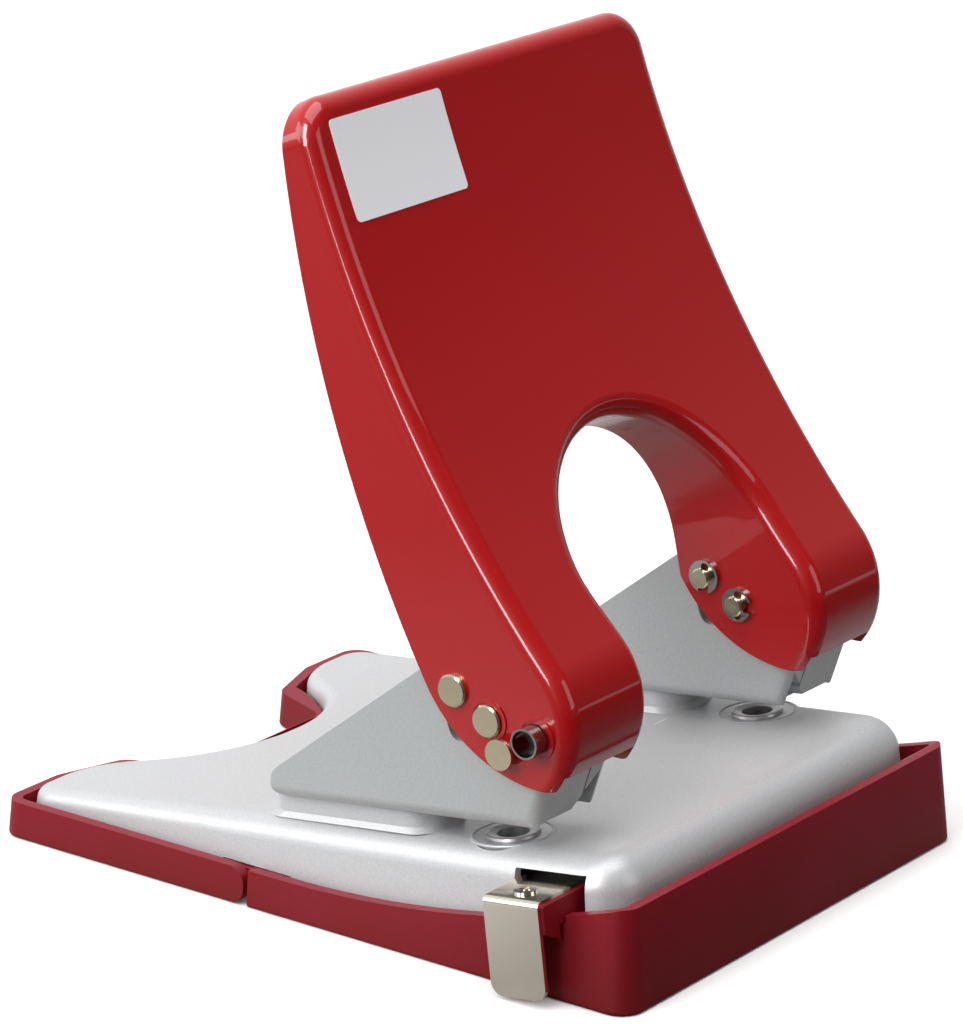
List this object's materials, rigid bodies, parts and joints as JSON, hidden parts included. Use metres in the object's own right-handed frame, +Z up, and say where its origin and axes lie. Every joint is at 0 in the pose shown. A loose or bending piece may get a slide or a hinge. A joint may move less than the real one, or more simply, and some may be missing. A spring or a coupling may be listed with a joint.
{
  "type": "paper drill",
  "caption": "Two-hole desk paper punch: sloping base with chip tray, folded steel brackets, slotted-head punches and a tall arched lever handle.",
  "frame": {"origin": "on the desk surface, midway between the two punched holes' planes: x = 0 on the symmetry plane, y = 0 on the line through the die rims, z = 0 at the flat underside", "axes": "+X across the punch to the right seen from the paper side, +Y away from the paper side to the chip tray's back, +Z up; the punch stands on z = 0"},
  "size_m": [0.1166, 0.1502, 0.1555],
  "materials": {
    "handle_red": "gloss red enamel",
    "cover_silver": "silver metallic paint",
    "boot_red": "translucent raspberry plastic",
    "bracket_steel": "satin zinc-plated sheet",
    "label_white": "plain white film",
    "bright_nickel": "bright nickel plate",
    "nickel": "nickel-plated steel",
    "black_plastic": "black moulding",
    "tool_steel": "ground steel"
  },
  "bodies": {
    "base": {"base_cover": "cover_silver", "boot_screw_1": "nickel", "boot_screw_2": "nickel", "boot_screw_3": "nickel", "boot_screw_4": "nickel", "bracket_left": "bracket_steel", "bracket_right": "bracket_steel", "bracket_rivet_1_left": "nickel", "bracket_rivet_1_right": "nickel", "bracket_rivet_2_left": "nickel", "bracket_rivet_2_right": "nickel", "bracket_seat_left": "cover_silver", "bracket_seat_right": "cover_silver", "chip_boot": "boot_red", "die_left": "tool_steel", "die_plate": "tool_steel", "die_right": "tool_steel", "gauge_guide": "black_plastic", "punch_guide_left": "tool_steel", "punch_guide_right": "tool_steel", "return_spring_left": "tool_steel", "return_spring_right": "tool_steel"},
    "handle": {"drive_clip_left": "nickel", "drive_clip_right": "nickel", "drive_pin_left": "nickel", "drive_pin_right": "nickel", "handle": "handle_red", "instruction_label": "label_white", "lock_eyelet": "bright_nickel", "pivot_clip_left": "nickel", "pivot_clip_right": "nickel", "pivot_pin_left": "nickel", "pivot_pin_right": "nickel"},
    "lock": {"lock_pin": "nickel"},
    "punch_left": {"punch_left": "tool_steel"},
    "punch_right": {"punch_right": "tool_steel"},
    "gauge": {"gauge_bar": "boot_red", "gauge_stop": "bright_nickel", "gauge_screw": "bright_nickel"},
    "door": {"tray_door": "boot_red"}
  },
  "joints": [
    {"name": "handle_hinge", "type": "hinge", "parent": "base", "child": "handle", "pos_m": [0, -0.0031, 0.0485], "axis": [-1, 0, 0], "range_deg": [0, 55], "stiffness_Nm_per_rad": 0.4, "springref_deg": -28.65},
    {"name": "punch_left_slide", "type": "slide", "parent": "base", "child": "punch_left", "axis": [0, -0.1219, -0.9925], "range_m": [0, 0.00807], "deforming": ["return_spring_left"]},
    {"name": "punch_right_slide", "type": "slide", "parent": "base", "child": "punch_right", "axis": [0, -0.1219, -0.9925], "range_m": [0, 0.00807], "deforming": ["return_spring_right"]},
    {"name": "lock_slide", "type": "slide", "parent": "handle", "child": "lock", "axis": [1, 0, 0], "range_m": [0, 0.0013]},
    {"name": "gauge_slide", "type": "slide", "parent": "base", "child": "gauge", "axis": [-1, 0, 0], "range_m": [0, 0.06]},
    {"name": "door_hinge", "type": "hinge", "parent": "base", "child": "door", "pos_m": [0, 0.0554, 0.0037], "axis": [-1, 0, 0], "range_deg": [0, 60]}
  ],
  "couplings": [
    {"joint": "punch_left_slide", "follows": "handle_hinge", "m_per_rad": 0.008397},
    {"joint": "punch_right_slide", "follows": "handle_hinge", "m_per_rad": 0.008397}
  ]
}
